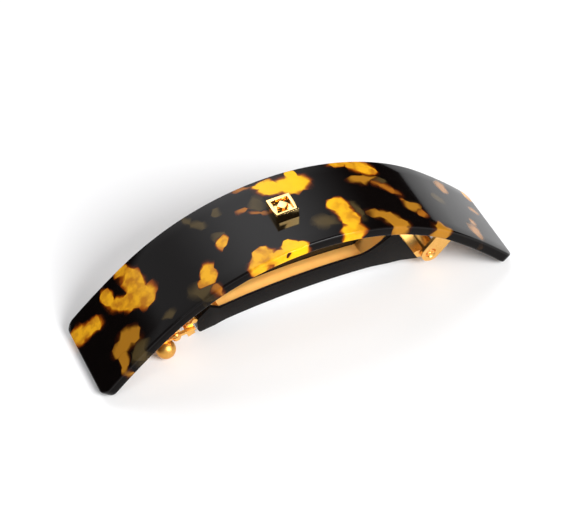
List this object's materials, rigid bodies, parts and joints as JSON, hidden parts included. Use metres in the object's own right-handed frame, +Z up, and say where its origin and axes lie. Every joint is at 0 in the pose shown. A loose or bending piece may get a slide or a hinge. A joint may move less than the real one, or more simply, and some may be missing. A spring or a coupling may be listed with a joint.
{
  "type": "barrette",
  "caption": "French barrette: arched tortoiseshell acetate shell with a plain gold plaque, over a gilt spring clip with a black arm on a hinge pin and ball-ended release levers",
  "frame": {"origin": "on the plane of the shell's two end edges, on which the barrette stands, under the middle of the crown", "axes": "+X along the barrette towards the hinge, +Y across it away from the viewer, +Z up out of the crown"},
  "size_m": [0.0892, 0.02, 0.0271],
  "materials": {
    "tortoiseshell_acetate": "tumbled and polished tortoiseshell cellulose acetate sheet, near-black brown with amber flakes",
    "black_acetate": "polished black moulded acetate",
    "gilt_strip": "gold-plated stamped strip",
    "satin_gilt": "gold-plated spring leaf, satin",
    "polished_gilt": "gold-plated, mirror polished"
  },
  "bodies": {
    "root": {"shell": "tortoiseshell_acetate", "emblem": "polished_gilt", "base_plate": "gilt_strip", "base_rivets": "gilt_strip", "hinge_pin": "gilt_strip", "catch_seat": "gilt_strip", "seat_rivet": "gilt_strip", "catch_springs": "gilt_strip"},
    "arm": {"arm_cover": "black_acetate", "arm_core": "gilt_strip", "tension_spring": "satin_gilt"},
    "lever_near": {"catch_lever_near": "gilt_strip", "catch_ball_near": "polished_gilt"},
    "lever_far": {"catch_lever_far": "gilt_strip", "catch_ball_far": "polished_gilt"}
  },
  "joints": [
    {"name": "arm_hinge", "type": "hinge", "parent": "root", "child": "arm", "pos_m": [0.02864, 0, 0.00396], "axis": [0, -1, 0], "range_deg": [0, 72]},
    {"name": "near_lever_squeeze", "type": "hinge", "parent": "root", "child": "lever_near", "pos_m": [-0.02665, -0.0042, 0.00434], "axis": [0.3746, 0, -0.9272], "range_deg": [0, 14], "stiffness_Nm_per_rad": 0.02},
    {"name": "far_lever_squeeze", "type": "hinge", "parent": "root", "child": "lever_far", "pos_m": [-0.02665, 0.0042, 0.00434], "axis": [-0.3746, 0, 0.9272], "range_deg": [0, 14], "stiffness_Nm_per_rad": 0.02}
  ]
}
